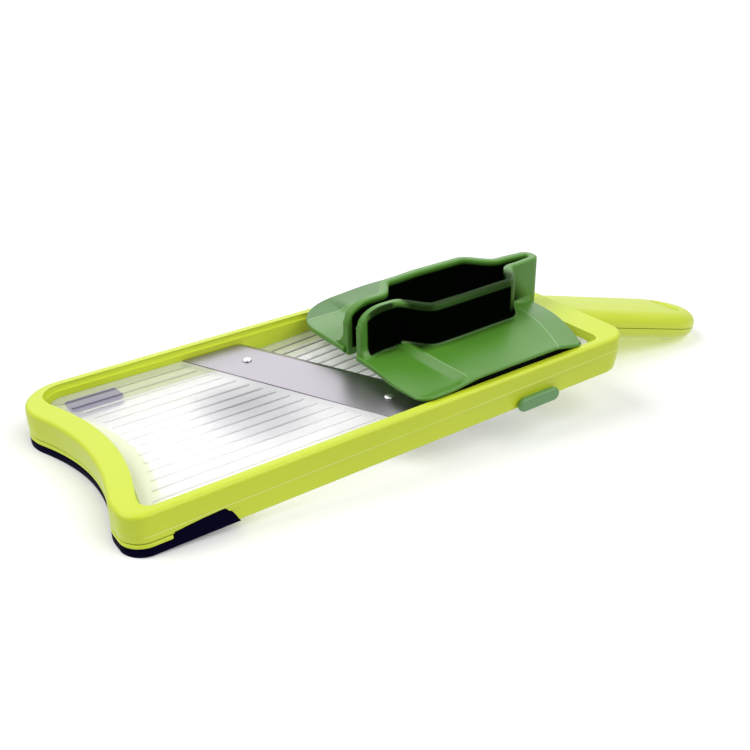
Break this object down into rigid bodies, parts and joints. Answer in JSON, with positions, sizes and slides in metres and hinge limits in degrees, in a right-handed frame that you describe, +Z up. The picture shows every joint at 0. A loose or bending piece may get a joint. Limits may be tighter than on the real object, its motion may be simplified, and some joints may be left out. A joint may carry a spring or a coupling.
{
  "type": "mandoline slicer",
  "caption": "Handheld mandoline slicer: ring frame with clear ribbed plates, slanting blade, sliding food holder, thickness button and sloping handle with a hanging slot",
  "frame": {"origin": "centre of the bounding box's bottom face, on the surface that the slicer stands on", "axes": "+X towards the handle, +Z up, +Y to the far side, away from the thickness button"},
  "size_m": [0.366, 0.117, 0.0624],
  "materials": {
    "lime_plastic": "satin moulded plastic",
    "green_plastic": "satin moulded plastic",
    "foot_rubber": "matte soft rubber",
    "clear_plastic": "clear polished plastic",
    "blade_steel": "fine ground steel",
    "fastener_steel": "plain steel",
    "dark_plastic": "dark sliding plastic",
    "white_plastic": "pale sliding plastic"
  },
  "bodies": {
    "frame": {"upper_frame": "lime_plastic", "front_band": "lime_plastic", "front_foot": "foot_rubber", "foot_screw_front_near": "fastener_steel", "foot_screw_front_far": "fastener_steel", "foot_screw_side_near": "fastener_steel", "foot_screw_side_far": "fastener_steel", "front_table": "clear_plastic", "blade": "blade_steel", "blade_rivet_near": "fastener_steel", "blade_rivet_far": "fastener_steel", "ramp_axle": "fastener_steel", "detent_spring": "fastener_steel", "handle_upper": "lime_plastic", "handle_lower": "lime_plastic", "handle_tang": "fastener_steel", "tang_screw_near": "fastener_steel", "tang_screw_far": "fastener_steel", "handle_screw_front": "fastener_steel", "handle_screw_middle": "fastener_steel", "handle_screw_rear": "fastener_steel"},
    "thickness_slider": {"thickness_yoke": "white_plastic", "thickness_button": "green_plastic", "button_screw": "fastener_steel"},
    "ramp": {"ramp": "clear_plastic"},
    "holder_runners": {"runner_near": "dark_plastic", "runner_far": "dark_plastic"},
    "holder": {"holder": "green_plastic"}
  },
  "joints": [
    {"name": "thickness_slide", "type": "slide", "parent": "frame", "child": "thickness_slider", "axis": [-0.9958, 0, -0.0919], "range_m": [-0.003, 0.009]},
    {"name": "ramp_hinge", "type": "hinge", "parent": "frame", "child": "ramp", "pos_m": [0.04255, 0.0015, 0.03009], "axis": [0, 1, 0], "range_deg": [-0.6, 1.8]},
    {"name": "holder_slide", "type": "slide", "parent": "frame", "child": "holder_runners", "axis": [-0.9958, 0, -0.0919], "range_m": [-0.002, 0.11]},
    {"name": "holder_lift", "type": "slide", "parent": "holder_runners", "child": "holder", "axis": [-0.0919, 0, 0.9958], "range_m": [0, 0.06]}
  ],
  "couplings": [
    {"joint": "ramp_hinge", "follows": "thickness_slide", "rad_per_m": 3.4421}
  ]
}
